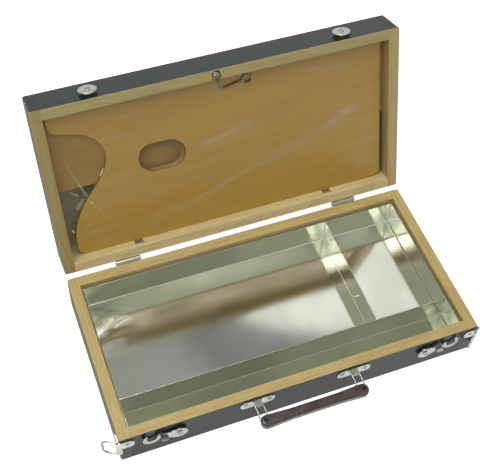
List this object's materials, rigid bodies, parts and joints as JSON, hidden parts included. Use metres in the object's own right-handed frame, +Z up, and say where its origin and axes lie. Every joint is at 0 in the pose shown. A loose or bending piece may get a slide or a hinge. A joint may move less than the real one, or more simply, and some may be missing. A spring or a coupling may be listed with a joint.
{
  "type": "brush box with hinged lid",
  "caption": "Shallow wooden artist's box with a divided tinplate tray, a lid on stop hinges that holds a palette, side hooks, a carrying handle and strap rings.",
  "frame": {"origin": "centre of the underside of the base box", "axes": "+X to the right along the box's length, +Y to the back where the hinges are, +Z up"},
  "size_m": [0.4198, 0.3355, 0.2397],
  "materials": {
    "frame_wood": "bare beech on the rims and inside, satin slate grey paint on the outer faces",
    "panel_ply": "thin plywood with satin slate grey paint",
    "palette_ply": "varnished plywood",
    "board_ply": "oiled plywood",
    "tinplate": "bright tinplate with bare folded edges",
    "dark_steel": "dark, slightly oxidised steel",
    "nickel_plate": "satin nickel plate",
    "bright_wire": "bright plated wire",
    "grip_plastic": "dark brown moulded plastic, satin"
  },
  "bodies": {
    "base": {"base_front_rail": "frame_wood", "base_back_rail": "frame_wood", "base_left_side": "frame_wood", "base_right_side": "frame_wood", "base_bottom_panel": "panel_ply", "tray_pan": "tinplate", "tray_long_divider": "tinplate", "tray_cross_divider": "tinplate", "hinge_base_leaf_left": "dark_steel", "hinge_base_leaf_right": "dark_steel", "hinge_pin_left": "dark_steel", "hinge_pin_right": "dark_steel", "hinge_screws_base": "dark_steel", "hook_rivets": "nickel_plate", "hook_washers": "nickel_plate", "handle_plate_left": "nickel_plate", "handle_plate_right": "nickel_plate", "handle_plate_screws": "nickel_plate", "corner_bracket_left": "nickel_plate", "corner_bracket_right": "nickel_plate", "bracket_screws": "nickel_plate"},
    "lid": {"lid_front_rail": "frame_wood", "lid_back_rail": "frame_wood", "lid_left_side": "frame_wood", "lid_right_side": "frame_wood", "lid_panel": "panel_ply", "hinge_lid_leaf_left": "dark_steel", "hinge_lid_leaf_right": "dark_steel", "hinge_screws_lid": "dark_steel", "palette": "palette_ply", "half_board": "board_ply", "turn_hook_screw": "dark_steel", "catch_spacer_left": "nickel_plate", "catch_spacer_right": "nickel_plate", "catch_disc_left": "nickel_plate", "catch_disc_right": "nickel_plate", "catch_rivets": "nickel_plate"},
    "palette_hook": {"turn_hook": "dark_steel"},
    "left_hook": {"side_hook_left": "nickel_plate"},
    "right_hook": {"side_hook_right": "nickel_plate"},
    "handle": {"handle_loop_left": "bright_wire", "handle_loop_right": "bright_wire", "handle_grip": "grip_plastic", "handle_eyelets": "dark_steel"},
    "left_ring": {"strap_ring_left": "bright_wire"},
    "right_ring": {"strap_ring_right": "bright_wire"}
  },
  "joints": [
    {"name": "lid_hinge", "type": "hinge", "parent": "base", "child": "lid", "pos_m": [0, 0.103, 0.0451], "axis": [1, 0, 0], "range_deg": [0, 109]},
    {"name": "palette_hook_turn", "type": "hinge", "parent": "lid", "child": "palette_hook", "pos_m": [-0.0078, 0.1701, 0.23077], "axis": [0, 0.9455, -0.3256], "range_deg": [-5, 45]},
    {"name": "left_hook_swing", "type": "hinge", "parent": "base", "child": "left_hook", "pos_m": [-0.1378, -0.1022, 0.0285], "axis": [0, 1, 0], "range_deg": [-45, 79.1]},
    {"name": "right_hook_swing", "type": "hinge", "parent": "base", "child": "right_hook", "pos_m": [0.1378, -0.1022, 0.0285], "axis": [0, -1, 0], "range_deg": [-45, 79.1]},
    {"name": "handle_swing", "type": "hinge", "parent": "base", "child": "handle", "pos_m": [0, -0.1036, 0.0345], "axis": [1, 0, 0], "range_deg": [-80, 80]},
    {"name": "left_ring_swing", "type": "hinge", "parent": "base", "child": "left_ring", "pos_m": [-0.2014, -0.0994, 0.0282], "axis": [0, 0, 1], "range_deg": [-50, 170]},
    {"name": "right_ring_swing", "type": "hinge", "parent": "base", "child": "right_ring", "pos_m": [0.2014, -0.0994, 0.0282], "axis": [0, 0, 1], "range_deg": [-2, 220]}
  ]
}
